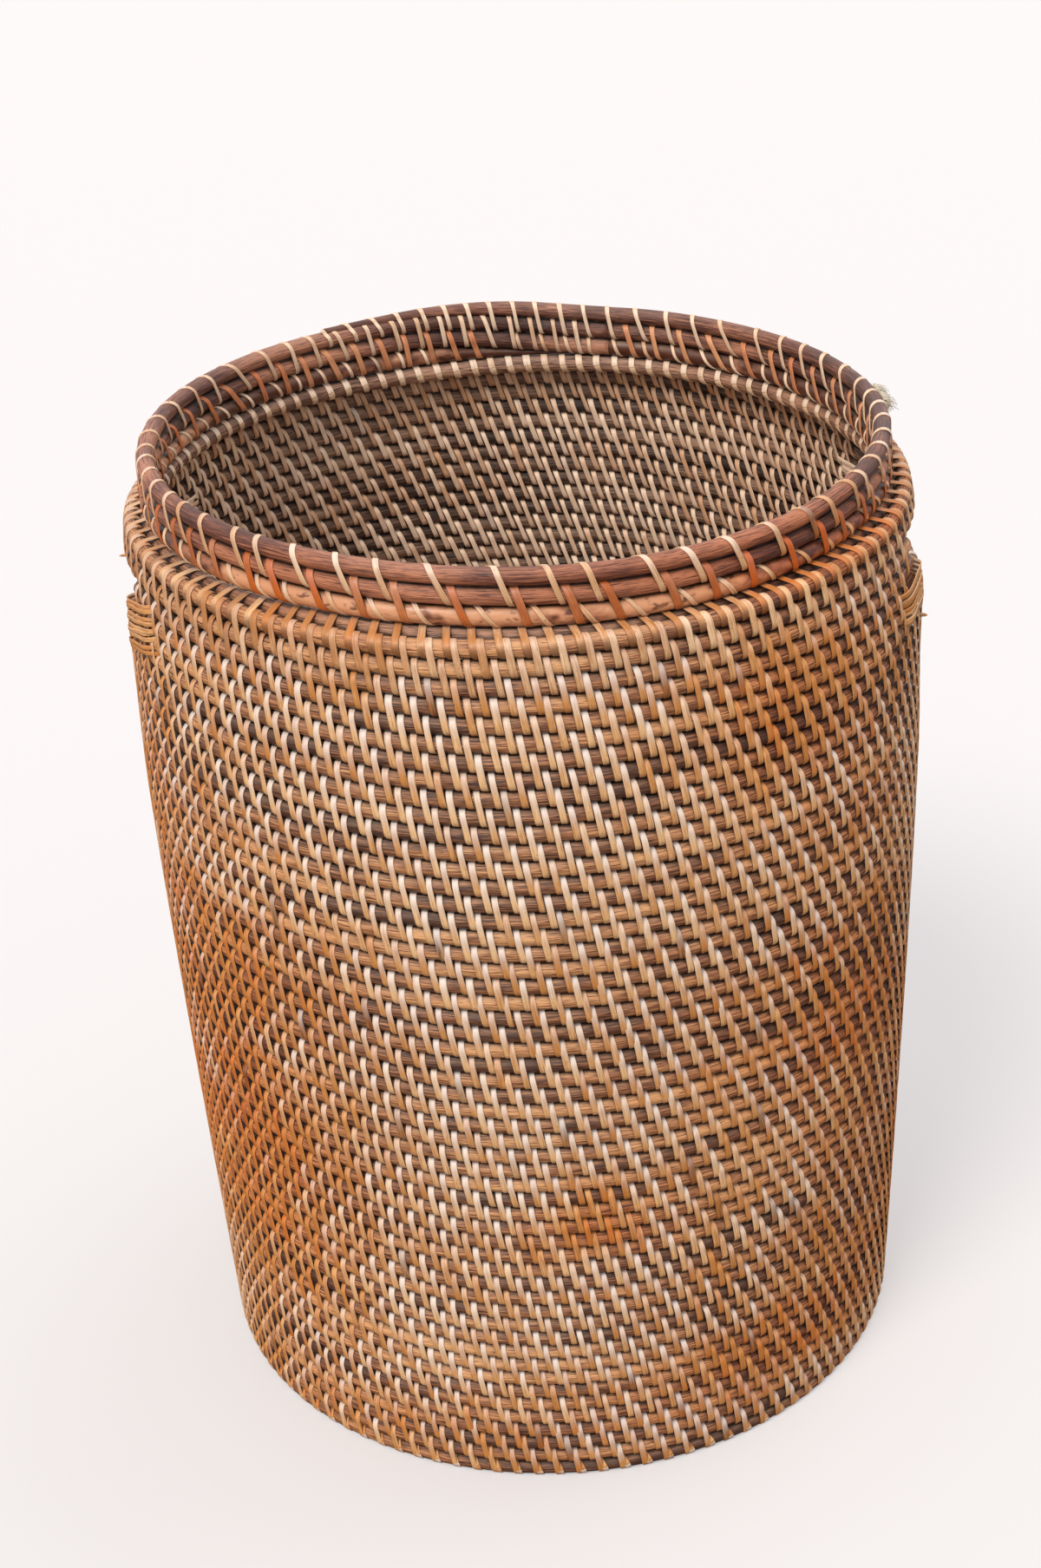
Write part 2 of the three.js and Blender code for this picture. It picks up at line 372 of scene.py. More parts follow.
def sloping_ring(node):
    """Radius and mean height of a ring that may slope, and the radius of its rod."""
    co = node_points(node)
    plane = np.linalg.lstsq(np.column_stack([co[:, :2], np.ones(len(co))]), co[:, 2], rcond=None)[0]
    level = co[:, 2] - co[:, :2] @ plane[:2]
    radius = np.hypot(co[:, 0], co[:, 1])
    centre = (float(radius.max() + radius.min()) / 2, float(level.mean()))
    return centre, float(level.max() - level.min()) / 2


ROWS = [row_centre(row) for row in range(SHOULDER_ROW + 1)]
SHOULDER = ROWS[SHOULDER_ROW]
LEDGE, LEDGE_ROD = sloping_ring("ledge_rod")
COLLAR_RADIUS = sloping_ring("collar_rod_01")[0][0]
COLLAR_RODS = [sloping_ring(f"collar_rod_0{i}")[1] for i in (1, 2, 3)]
COLLAR_ROD = COLLAR_RODS[1]

# The hand-holes: half their angle, their middle height, and the arcs of wall between them
side_points = node_points("hole_side_rods_back")
HOLE_HALF = float(np.arctan2(side_points[:, 1], np.abs(side_points[:, 0])).min())
HOLE_MIDDLE = (ROWS[POLE_ROWS][1] + ROWS[GRIP_ROW - 1][1]) / 2
ARCS = {"back": (HOLE_HALF, math.pi - HOLE_HALF), "front": (math.pi + HOLE_HALF, 2 * math.pi - HOLE_HALF)}


# The rim and the collar's coil

def rim_rise(angle):
    """How far the ledge and the collar stand over their mean height at an angle."""
    total = 0.0
    for step in (-8, -4, 0, 4, 8):
        total = total + np.interp((np.degrees(angle) + step) % 360, RIM_PLACES, RIM_RISES)
    return total / 5 * 0.001


def on_ledge(angle, r, z):
    """Bends the ledge rod and its cane to where they lie on the used basket. The ledge stands as high as the
    collar does, except at the left of the front, where it stays low. Its cane follows it less and less
    towards the shoulder row."""
    share = np.clip((SHOULDER[0] - r) / (SHOULDER[0] - LEDGE[0]), 0, 1)
    wall_r, wall_z = settle(angle, r, z)
    bulge = sum(near(angle, *values) for values in LEDGE_BULGES)
    lift = rim_rise(angle) - near(angle, *LEDGE_SAG)
    return r + bulge * share + (wall_r - r) * (1 - share), z + lift * share + (wall_z - z) * (1 - share)


def coil_thickness(angle):
    """Radius of the collar's rod along its coil. It tapers at both ends and gets thinner turn by turn."""
    turned = np.degrees(angle)
    full = np.interp(turned, (286, 646, 1006), COLLAR_RODS)
    start = smooth_step((turned - COIL_START) / (COIL_THICK - COIL_START))
    end = 1 - 0.55 * smooth_step((turned - COIL_TAPER) / (COIL_END - COIL_TAPER))
    return full * start * end


def coil_radius(angle):
    return COLLAR_RADIUS + near(angle, *COLLAR_BULGE)


def coil_height(angle):
    """Height of the middle of the collar's rod along its coil. Each turn lies on the one below it, and the
    last end is shaved flat below."""
    height = LEDGE[1] + LEDGE_ROD + rim_rise(angle)
    for turn in (3, 2, 1):
        below = coil_thickness(angle - turn * 2 * math.pi)
        height = height + np.where(below > 1e-6, 2 * below + COIL_GAP, 0)
    shaved = COIL_SHAVED * smooth_step((np.degrees(angle) - COIL_TAPER - 5) / 25)
    return height + COIL_GAP + coil_thickness(angle) - shaved


# Cane on the collar is laid out round two level rods and then bent to where the coil has them
PAIR_LOWER = (COLLAR_RADIUS, 0.0)
PAIR_UPPER = (COLLAR_RADIUS, 2 * COLLAR_ROD + COIL_GAP)


def on_coil(angle, r, z):
    """Bends cane that binds the coil's rod at an angle to the turn below it."""
    below = angle - 2 * math.pi
    upper, lower = coil_thickness(angle) / COLLAR_ROD, coil_thickness(below) / COLLAR_ROD
    share = np.clip(z / PAIR_UPPER[1], 0, 1)
    high, low = coil_height(angle), coil_height(below)
    r = coil_radius(angle) + (r - COLLAR_RADIUS) * (lower + (upper - lower) * smooth_step(2 * share - 1))
    over = np.maximum(z - PAIR_UPPER[1], 0)
    return r, low + (high - low) * share + over * upper + np.minimum(z, 0) * lower


def on_lowest_turn(angle, r, z):
    """Bends cane that is wound round one turn of the coil alone."""
    scale = coil_thickness(angle) / COLLAR_ROD
    return coil_radius(angle) + (r - COLLAR_RADIUS) * scale, coil_height(angle) + z * scale


# Rods

def rod_skin(angle, points, thick, sides, shade, closed=False):
    """The skin of a rod along points that lie at angles, with its radius and its shade at each."""
    outline = circle(sides)[None] * thick[:, None, None]
    none = 0 * shade
    tone = np.stack([shade, none, none, none + 1], -1)
    return sweep(points, outward(angle), upward(len(points)), outline, closed, tone)


def rod(centre, radius, seed, arc=None, tone=0.5, bend=settle):
    """A rattan rod bent into a ring, or into an arc between two angles."""
    closed = arc is None
    if closed:
        angle = np.arange(RING_STEPS) * 2 * math.pi / RING_STEPS
    else:
        angle = np.linspace(arc[0], arc[1], int(RING_STEPS * (arc[1] - arc[0]) / (2 * math.pi)))
    r = centre[0] + waves(angle, seed, ROD_WANDER, (5, 30))
    z = centre[1] + waves(angle, seed + 1, ROD_WANDER, (5, 30))
    thick = radius * (1 + waves(angle, seed + 2, 0.012, (4, 40)))
    row_tone = np.random.default_rng(seed + 4).uniform(-0.22, 0.22)
    shade = tone + row_tone + waves(angle, seed + 3, 0.3, (1, 7)) + waves(angle, seed + 5, 0.12, (8, 40))
    return rod_skin(angle, placed(angle, *bend(angle, r, z)), thick, ROD_SIDES, shade, closed)


def coiled_rod(first, last, seed, tone, front):
    """A length of the collar's rod, between two angles of its coil in degrees. front is how much lighter it
    is at the front than at the sides."""
    angle = np.radians(np.linspace(first, last, int((last - first) * 0.9)))
    r = coil_radius(angle) + waves(angle / 4, seed, 0.00012, (8, 60))
    thick = np.maximum(coil_thickness(angle), THINNEST) * (1 + waves(angle / 4, seed + 2, 0.012, (8, 90)))
    shade = tone - front * np.sin(angle + 0.4) + waves(angle / 4, seed + 3, 0.3, (4, 28))
    shade = shade + waves(angle / 4, seed + 5, 0.12, (30, 150))
    return rod_skin(angle, placed(angle, r, coil_height(angle)), thick, COIL_SIDES, shade)


# Cane wound round the rods

def loop_section(upper, lower, reach):
    """The way round two rods in a cut through the wall, from over the upper one outside to under the lower
    one and back up inside: places, normals, and how far each one is along its pass. reach is how far the
    cane lies from the middle of the upper rod and of the lower one."""
    upper, lower = np.array(upper), np.array(lower)
    height = np.linalg.norm(upper - lower)
    axis = (upper - lower) / height if height else np.array([0.0, 1.0])
    out = np.array([axis[1], -axis[0]])
    quarter = sum(reach) / 2 * math.pi / 2
    half_way = 2 * quarter + height
    down = [(0, a, a / 90 * quarter) for a in (0, 22.5, 45, 67.5)]
    down += [(f, 90, quarter + f * height) for f in ((0, 0.25, 0.5, 0.75, 1) if height else (0,))]
    down += [(1, a, a / 90 * quarter + height) for a in (112.5, 135, 157.5)]
    places, normals, run = [], [], []
    for back in (0, 1):
        for share, a, length in down:
            share = 1 - share if back else share
            a = math.radians(a + 180 * back)
            normal = axis * math.cos(a) + out * math.sin(a)
            far = reach[0] + (reach[1] - reach[0]) * share
            places.append(upper + (lower - upper) * share + far * normal)
            normals.append(normal)
            run.append(back + length / half_way)
    return np.array(places), np.array(normals), np.array(run)


def strands(count, rng):
    """The same random value for each run of turns that is made with one length of cane, from -0.5 to 0.5."""
    value = np.zeros(count)
    place = 0
    while place < count:
        run = rng.integers(12, 38)
        value[place:place + run] = rng.uniform(-0.5, 0.5)
        place += run
    return value


def wound(upper, lower, radii, tops, bottoms, seed, closed=True, width=STRIP_WIDTH, strand=0.5, bend=settle):
    """Cane wound round two rods. Turn j goes over the upper rod at tops[j] and under the lower one at
    bottoms[j]. bend moves each place of the cane, given by angle, radius and height, to where it lies on the
    used basket."""
    rng = np.random.default_rng(seed)
    count = len(tops)
    places, normals, run = loop_section(upper, lower, [radius + STRIP_THICKNESS / 2 for radius in radii])
    after = np.append(tops[1:], tops[0] + 2 * math.pi if closed else tops[-1] + (tops[-1] - tops[-2]))
    f = run[None]
    outer = tops[:, None] + (bottoms - tops)[:, None] * f
    inner = bottoms[:, None] + (after - bottoms)[:, None] * (f - 1)
    angle = np.where(f < 1, outer, inner).ravel()
    r, z = bend(angle, np.tile(places[:, 0], count), np.tile(places[:, 1], count))
    points = placed(angle, r, np.maximum(z, STRIP_THICKNESS * 0.6))
    up = placed(angle, np.tile(normals[:, 0], count), np.tile(normals[:, 1], count))
    if closed:
        ahead = np.roll(points, -1, 0) - np.roll(points, 1, 0)
    else:
        ahead = np.gradient(points, axis=0)
    side = unit(np.cross(ahead, up))
    per_turn = len(run)
    strand = strand + strands(count, rng)
    wide = width * (1 + 0.05 * rng.normal(size=count).clip(-2, 2) + 0.14 * strands(count, rng))
    slimmer = INNER_SLIMMER * smooth_step(2 - 4 * np.abs(run - 1.5))
    wide = np.repeat(wide, per_turn) * np.tile(1 - slimmer, count)
    outline = strip_outline(1.0, STRIP_THICKNESS)[None] * np.stack([wide, np.ones_like(wide)], -1)[:, None]
    shade = np.repeat(rng.uniform(size=count), per_turn)
    runs = np.repeat(strand, per_turn) + waves(angle, seed + 5, 0.1, (1, 9))
    stain = np.repeat(rng.uniform(size=count), per_turn)
    tone = np.stack([shade, np.tile(run / 2, count), runs, stain], -1)
    return sweep(points, side, up, outline, closed, tone)


def row_phase(row, angle):
    """How far the stitches of a row are turned, in stitches. It drifts a little from place to place."""
    drift = 0.25 * np.sin(2 * angle + row / 8) + 0.15 * np.sin(5 * angle - row / 5)
    return ROW_SHIFT * (SHOULDER_ROW - row) + drift


def row_turns(row, seed, arc=None):
    """Where the stitches of a row go over its rod and come out below, as angles."""
    rng = np.random.default_rng(seed)
    step = 2 * math.pi / STITCHES
    base = np.arange(STITCHES) * step
    tops = base + step * row_phase(row, base)
    tops = tops + step * 0.02 * rng.normal(size=STITCHES).clip(-2, 2)
    bottoms = tops + step * (OUTER_LEAN + 0.015 * rng.normal(size=STITCHES).clip(-2, 2))
    if arc is None:
        return tops, bottoms
    turned = tops % (2 * math.pi)
    order = np.argsort(turned)
    tops, bottoms = turned[order], (bottoms - tops + turned)[order]
    kept = (tops > arc[0] + step * 0.4) & (tops < arc[1] - step * 1.1)
    return tops[kept], bottoms[kept]


def row_binding(row, seed, arc=None):
    tops, bottoms = row_turns(row, seed, arc)
    return wound(ROWS[row], ROWS[row - 1], (ROD, ROD), tops, bottoms, seed, closed=arc is None)


def tuck(along, end, depth, length):
    """How deep a strip dips into the wall towards its end."""
    return depth * np.clip(1 - (end - along) / length, 0, 1) ** 2


def lashing(seed, hole, way, count, spacing, gaps, gap, under, climb, length, width):
    """Cane strips from outside the wall round an upright edge of a hand-hole to the inside."""
    rng = np.random.default_rng(seed)
    heights = np.array([z for _, z in ROWS])
    radii = np.array([r for r, _ in ROWS])
    levels = np.cumsum([0] + [spacing + (gap if k in gaps else 0) for k in range(1, count)])
    levels = levels - levels.mean() + HOLE_MIDDLE - under
    skins = []
    for k, level in enumerate(levels):
        outside = np.linspace(length * rng.uniform(0.85, 1.05), 0.001, 12)
        inside = np.linspace(0.001, LASHING_INSIDE * rng.uniform(0.85, 1.1), 8)
        turn = np.linspace(0, math.pi, 11)[1:-1]
        lift = ROD + LASHING_LIFT + 0.0004 * (k % 2)
        dip = tuck(outside, outside[0], *OUTER_TUCK)
        dip_inside = tuck(inside, inside[-1], *INNER_TUCK)
        along = np.concatenate([outside, -LASHING_OVERHANG * np.sin(turn), inside])
        offset = np.concatenate([lift - dip - 0.0012 * outside / length, lift * np.cos(turn),
                                 dip_inside + 0.0008 - lift])
        rise = np.concatenate([outside / outside[0] * climb * rng.uniform(0.85, 1.15), 0 * turn,
                               inside / inside[-1] * 0.3 * climb * rng.uniform(-1, 1)])
        z = level + rise + 0.0002 * np.sin(np.arange(len(along)) * 0.9 + k)
        facing = np.concatenate([0 * outside, turn, 0 * inside + math.pi])[:, None]
        angle = math.radians(hole) + way * (HOLE_HALF + along / radii.mean())
        r = settle(angle, np.interp(z, heights, radii) + offset, z)[0]
        points = placed(angle, r, z)
        up = outward(angle) * np.cos(facing) - way * onward(angle) * np.sin(facing)
        side = unit(np.cross(np.gradient(points, axis=0), up))
        tone = [rng.uniform(0.2, 1.0), 0.3, rng.uniform(0.2, 0.9), rng.uniform()]
        strip = strip_outline(width * rng.uniform(0.85, 1.1), STRIP_THICKNESS)
        skins.append(sweep(points, side, up, strip, False, np.tile(tone, (len(points), 1))))
    return skins


def stub(angle, z, radius, length, thickness, lean):
    """The cut end of a strip that sticks out of the wall."""
    radius = float(settle(angle, radius, z)[0])
    t = np.linspace(0, 1, 7)[:, None]
    points = outward(angle) * (radius + (length + 0.004) * t - 0.004) + onward(angle) * lean * t ** 2
    points = points + [0, 0, z] + [0, 0, 0.0004] * t
    up = upward(len(t))
    side = unit(np.cross(np.gradient(points, axis=0), up))
    outline = circle(8)[None] * (thickness / 2 * np.sqrt(1.02 - t ** 6))[:, None]
    return sweep(points, side, up, outline, False, np.tile([0.5, 0.3, 0.4, 0.9], (len(t), 1)))


# The base: a rod wound as a flat spiral

base_low, base_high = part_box("base_coil")
BASE_ROD = (base_high.z - base_low.z) / 2
BASE_HEIGHT = (base_high.z + base_low.z) / 2
BASE_PITCH = 2 * BASE_ROD + 0.0004
BASE_REACH = base_high.x - BASE_ROD
BASE_TURNS = BASE_REACH / BASE_PITCH - 0.56


def spiral_radius(turned):
    """Radius of the middle of the base's rod after an angle. Its last turn stays at the edge."""
    return BASE_REACH - BASE_PITCH * np.maximum(BASE_TURNS - np.asarray(turned) / (2 * math.pi), 0)


def base_rod():
    total = 2 * math.pi * (BASE_TURNS + 1)
    angle = [0.0]
    while angle[-1] < total:
        angle.append(angle[-1] + min(0.3, 0.0055 / spiral_radius(angle[-1]) + 0.004))
    angle = np.array(angle)
    left = np.clip(BASE_TURNS + 1 - angle / (2 * math.pi), 0, 1)
    thick = np.maximum(BASE_ROD * left, THINNEST)
    points = placed(angle, spiral_radius(angle) + BASE_ROD - thick, BASE_HEIGHT)
    return rod_skin(angle, points, thick, BASE_SIDES, 0.5 + waves(angle / 20, 71, 0.3, (3, 60)))


def base_binding():
    """Cane round each turn of the spiral and the turn inside it."""
    step = 2 * math.pi * (BASE_REACH / STITCHES) * 1.05
    tops = [2 * math.pi * 1.5]
    while tops[-1] < 2 * math.pi * BASE_TURNS - 0.05:
        tops.append(tops[-1] + step / spiral_radius(tops[-1]))
    tops = np.array(tops)
    lean = OUTER_LEAN * np.diff(np.append(tops, tops[-1] + (tops[-1] - tops[-2])))
    outer = (0.0, BASE_HEIGHT)
    inner = (-BASE_PITCH, BASE_HEIGHT)
    return wound(outer, inner, (BASE_ROD, BASE_ROD), tops, tops + lean, 3301, closed=False,
                 bend=lambda angle, r, z: (r + spiral_radius(angle), z))


# Materials

class Nodes:
    """A short way to write a material's nodes."""

    def __init__(self, name):
        self.material = bpy.data.materials.new(name)
        self.material.use_nodes = True
        self.tree = self.material.node_tree
        self.shader = self.tree.nodes["Principled BSDF"]

    def add(self, kind, inputs=(), **settings):
        node = self.tree.nodes.new(kind)
        for key, value in settings.items():
            setattr(node, key, value)
        for key, value in dict(inputs).items():
            self.put(node.inputs[key], value)
        return node

    def put(self, socket, value):
        if isinstance(value, bpy.types.NodeSocket):
            self.tree.links.new(value, socket)
        else:
            socket.default_value = value

    def math(self, operation, a, b=0.0, clamp=False):
        return self.add("ShaderNodeMath", {0: a, 1: b}, operation=operation, use_clamp=clamp).outputs[0]

    def ranged(self, value, low, high, to_low=0.0, to_high=1.0):
        node = self.add("ShaderNodeMapRange", {"Value": value, "From Min": low, "From Max": high,
                                               "To Min": to_low, "To Max": to_high})
        return node.outputs[0]

    def mix(self, factor, a, b, blend="MIX"):
        node = self.add("ShaderNodeMix", data_type="RGBA", blend_type=blend)
        self.put(node.inputs[0], factor)
        self.put(node.inputs[6], a)
        self.put(node.inputs[7], b)
        return node.outputs[2]

    def noise(self, vector, scale=1.0, detail=3.0, roughness=0.55):
        return self.add("ShaderNodeTexNoise", {"Vector": vector, "Scale": scale, "Detail": detail,
                                               "Roughness": roughness}).outputs[0]

    def scaled(self, vector, scale):
        return self.add("ShaderNodeMapping", {"Vector": vector, "Scale": scale}).outputs[0]

    def grain(self):
        return self.add("ShaderNodeUVMap", uv_map="Grain").outputs[0]

    def place(self):
        return self.add("ShaderNodeNewGeometry").outputs["Position"]

    def facing_in(self):
        """1 where a surface faces the inside of the basket, 0 where it faces out."""
        geometry = self.add("ShaderNodeNewGeometry")
        flat = self.add("ShaderNodeVectorMath", {0: geometry.outputs["Position"], 1: (1, 1, 0)},
                        operation="MULTIPLY")
        dot = self.add("ShaderNodeVectorMath", {0: flat.outputs[0], 1: geometry.outputs["Normal"]},
                       operation="DOT_PRODUCT")
        return self.ranged(dot.outputs["Value"], 0.02, -0.06)

    def facing_up(self):
        normal = self.add("ShaderNodeNewGeometry").outputs["Normal"]
        return self.add("ShaderNodeSeparateXYZ", {0: normal}).outputs[2]

    def tone(self):
        """The mesh's own shade, pass, strand and stain."""
        attribute = self.add("ShaderNodeAttribute", attribute_name="Tone")
        split = self.add("ShaderNodeSeparateColor", {0: attribute.outputs["Color"]})
        return split.outputs[0], split.outputs[1], split.outputs[2], attribute.outputs["Alpha"]

    def painted_crevice_shade(self):
        """Painted shade: ambient occlusion darkens the corners between rods and cane."""
        corner = self.add("ShaderNodeAmbientOcclusion", {"Distance": 0.004}, samples=4).outputs["AO"]
        return self.ranged(corner, 0.85, 0.25, 0.0, 0.9)

    def warmth(self):
        return self.add("ShaderNodeAttribute", attribute_name="Warmth").outputs["Fac"]

    def centred(self, *pairs):
        """0.5 plus each value's distance from 0.5 times its weight."""
        total = 0.5
        for value, weight in pairs:
            total = self.math("ADD", total, self.math("MULTIPLY", self.math("SUBTRACT", value, 0.5), weight))
        return total

    def bump(self, height, strength, distance):
        inputs = {"Height": height, "Strength": strength, "Distance": distance}
        return self.add("ShaderNodeBump", inputs).outputs[0]


def rattan(name, dark, middle, light, dust_and_sheen_colour, dust_and_sheen_amount, rough, inside_light_and_shade=0.75):
    """Peeled rattan: lengthwise fibres, shades that change along the rod, and a paler upper side, partly dust
    and partly a painted sky sheen. rough is its roughness where it is smoothest, the last argument is how
    much painted shade darkens it inside the basket, and the corners between rods and cane get painted shade."""
    n = Nodes(name)
    shade = n.tone()[0]
    warm = n.warmth()
    grain = n.grain()
    hair = n.noise(n.scaled(grain, (110, 2100, 1)), detail=2, roughness=0.6)
    fibre = n.noise(n.scaled(grain, (34, 900, 1)), detail=3, roughness=0.65)
    patch = n.noise(n.scaled(grain, (14, 130, 1)), detail=3)
    cloud = n.noise(n.scaled(n.place(), (8, 8, 20)), detail=2)
    value = n.centred((hair, 1.5), (fibre, 1.9), (patch, 1.0), (cloud, 0.9), (shade, 0.9))
    ramp = n.add("ShaderNodeValToRGB", {0: value})
    ramp.color_ramp.elements[0].position = 0.05
    ramp.color_ramp.elements[0].color = (*dark, 1)
    ramp.color_ramp.elements[1].position = 0.95
    ramp.color_ramp.elements[1].color = (*light, 1)
    ramp.color_ramp.elements.new(0.5).color = (*middle, 1)
    # Paler upper side, where the surface faces up: partly dust, partly a painted sky sheen
    dust_and_sheen = n.math("MULTIPLY", n.ranged(n.facing_up(), 0.1, 0.9), n.ranged(fibre, 0.35, 0.6, 0.3, 1.0))
    dust_and_sheen = n.math("MULTIPLY", n.math("MULTIPLY", dust_and_sheen, n.ranged(warm, 0.1, 0.8, dust_and_sheen_amount, 0.1)),
                  n.ranged(cloud, 0.3, 0.65, 0.55, 1.2), clamp=True)
    colour = n.mix(dust_and_sheen, ramp.outputs[0], (*dust_and_sheen_colour, 1))
    cracks = n.math("MAXIMUM", n.ranged(hair, 0.42, 0.33), n.ranged(fibre, 0.40, 0.31))
    colour = n.mix(n.math("MULTIPLY", cracks, 0.8), colour, (*dark, 1))
    colour = n.mix(warm, colour, (0.80, 0.50, 0.28, 1), "MULTIPLY")
    # Painted shade: the rod is darker where it faces the inside of the basket
    shaded_inside = n.mix(n.ranged(value, 0.1, 1.0), (0.018, 0.01, 0.006, 1), (0.27, 0.185, 0.135, 1))
    colour = n.mix(n.math("MULTIPLY", n.facing_in(), inside_light_and_shade), colour, shaded_inside)
    # Painted shade: the corners between rods and cane are darkened by ambient occlusion
    colour = n.mix(n.painted_crevice_shade(), colour, (0.012, 0.005, 0.003, 1))
    n.put(n.shader.inputs["Base Color"], colour)
    n.put(n.shader.inputs["Roughness"], n.ranged(fibre, 0.3, 0.7, rough, rough + 0.22))
    height = n.math("ADD", hair, n.math("MULTIPLY", fibre, 1.5))
    n.put(n.shader.inputs["Normal"], n.bump(height, 0.8, 0.0006))
    return n.material


def cane(name, low, high, stain, stain_share, end_dust_and_sheen=0.75, inside_light_and_shade=0.6):
    """A cane strip: pale to honey, with lengthwise fibres, darker edges and rusty stains. The next to last
    argument is how pale the start of each turn is, partly dust and partly a painted sky reflection, and the
    last is how much paler painted light makes the strip inside the basket. Where it passes under the lower
    rod it gets painted shade."""
    n = Nodes(name)
    shade, run, strand, spot = n.tone()
    warm = n.warmth()
    grain = n.grain()
    fibre = n.noise(n.scaled(grain, (60, 1500, 1)), detail=3, roughness=0.65)
    blotch = n.noise(n.scaled(grain, (140, 420, 1)), detail=3, roughness=0.6)
    speck = n.noise(n.scaled(grain, (520, 1100, 1)), detail=2)
    cloud = n.noise(n.scaled(n.place(), (16, 16, 22)), detail=2)
    value = n.centred((shade, 0.6), (strand, 0.8), (blotch, 1.2), (fibre, 0.6), (warm, -0.5), (cloud, 0.8))
    colour = n.mix(n.ranged(value, 0.25, 1.1), (*low, 1), (*high, 1))
    amount = n.centred((blotch, 2.2), (spot, 0.8), (run, 0.5), (warm, 0.9), (strand, -0.6), (speck, 1.0))
    amount = n.ranged(amount, 0.62 - stain_share, 1.25 - stain_share)
    colour = n.mix(amount, colour, (*stain, 1))
    dark_strip = n.math("MULTIPLY", n.ranged(spot, 0.975, 0.985), n.ranged(fibre, 0.45, 0.6, 0.3, 0.9))
    dots = n.math("MULTIPLY", n.ranged(speck, 0.64, 0.70), n.ranged(blotch, 0.45, 0.6, 0.1, 0.7))
    colour = n.mix(n.math("MAXIMUM", dark_strip, dots), colour, (0.11, 0.032, 0.012, 1))
    colour = n.mix(n.ranged(fibre, 0.34, 0.52, 0.55, 0.0), colour, (0.34, 0.12, 0.035, 1))
    colour = n.mix(warm, colour, (0.96, 0.80, 0.58, 1), "MULTIPLY")
    # The start of each turn, over the top of the rod, is paler: partly dust, partly a painted sky reflection
    dust_and_sheen_patches = n.centred((shade, 0.7), (warm, -1.0), (cloud, 2.4), (fibre, 0.8))
    end = n.math("MULTIPLY", n.ranged(run, 0.30, 0.07), n.ranged(dust_and_sheen_patches, 0.1, 1.0, 0.0, end_dust_and_sheen))
    colour = n.mix(end, colour, (0.80, 0.74, 0.71, 1))
    # Painted light: the strip is paler where it faces the inside of the basket
    pale = n.mix(n.ranged(value, 0.1, 0.9), (0.70, 0.47, 0.31, 1), (0.97, 0.80, 0.66, 1))
    colour = n.mix(n.math("MULTIPLY", n.facing_in(), inside_light_and_shade), colour, pale)
    # Painted shade where the strip passes under the lower rod
    shade_under_rod = n.ranged(n.math("ABSOLUTE", n.math("SUBTRACT", run, 0.5)), 0.10, 0.04, 0.0, 0.6)
    colour = n.mix(shade_under_rod, colour, (0.14, 0.05, 0.018, 1))
    n.put(n.shader.inputs["Base Color"], colour)
    n.put(n.shader.inputs["Roughness"], n.ranged(blotch, 0.3, 0.7, 0.32, 0.55))
    height = n.math("ADD", fibre, n.math("MULTIPLY", blotch, 0.5))
    n.put(n.shader.inputs["Normal"], n.bump(height, 0.5, 0.0003))
    return n.material


WALL_LOOK = rattan(
    "wall rattan", dark=(0.075, 0.025, 0.011), middle=(0.40, 0.155, 0.06), light=(0.84, 0.43, 0.18),
    dust_and_sheen_colour=(0.50, 0.34, 0.24), dust_and_sheen_amount=0.55, rough=0.38)
COLLAR_LOOK = rattan(
    "collar rattan", dark=(0.07, 0.022, 0.014), middle=(0.24, 0.082, 0.047), light=(0.60, 0.25, 0.13),
    dust_and_sheen_colour=(0.25, 0.14, 0.115), dust_and_sheen_amount=0.5, rough=0.3, inside_light_and_shade=0.15)
LOW_COLLAR_LOOK = rattan(
    "lowest collar rattan", dark=(0.11, 0.032, 0.016), middle=(0.42, 0.16, 0.08), light=(0.76, 0.39, 0.21),
    dust_and_sheen_colour=(0.50, 0.31, 0.20), dust_and_sheen_amount=0.5, rough=0.32, inside_light_and_shade=0.15)
CANE_LOOK = cane(
    "binding cane", low=(0.66, 0.28, 0.075), high=(0.93, 0.58, 0.29), stain=(0.74, 0.23, 0.04),
    stain_share=0.0)
PALE_CANE_LOOK = cane(
    "pale collar cane", low=(0.66, 0.36, 0.18), high=(0.89, 0.62, 0.40), stain=(0.66, 0.25, 0.06),
    stain_share=-0.12, end_dust_and_sheen=0.4, inside_light_and_shade=0.3)
BROWN_CANE_LOOK = cane(
    "brown collar cane", low=(0.46, 0.125, 0.03), high=(0.76, 0.32, 0.12), stain=(0.66, 0.14, 0.012),
    stain_share=0.3, end_dust_and_sheen=0.12, inside_light_and_shade=0.1)
RIM_CANE_LOOK = cane(
    "cane of the shoulder and ledge", low=(0.56, 0.25, 0.09), high=(0.92, 0.62, 0.36),
    stain=(0.66, 0.22, 0.045), stain_share=0.05, end_dust_and_sheen=0.3, inside_light_and_shade=0.25)
LEDGE_LOOK = rattan(
    "ledge rattan", dark=(0.055, 0.02, 0.011), middle=(0.26, 0.115, 0.065), light=(0.62, 0.33, 0.20),
    dust_and_sheen_colour=(0.44, 0.30, 0.23), dust_and_sheen_amount=0.5, rough=0.3, inside_light_and_shade=0.2)
FRAYED_LOOK = cane(
    "frayed cane", low=(0.60, 0.62, 0.50), high=(0.80, 0.80, 0.70), stain=(0.55, 0.50, 0.36),
    stain_share=-0.2)

# The collar's turns from below: look, tone, and how much lighter they are at the front
COLLAR_TURNS = ((LOW_COLLAR_LOOK, 0.28, 0.52), (COLLAR_LOOK, 0.62, 0.1), (COLLAR_LOOK, 0.45, 0.2))


# Pieces

def base():
    mesh_piece("base_spiral", [base_rod()], WALL_LOOK, ["base_coil"])
    mesh_piece("base_cane", [base_binding()], CANE_LOOK)


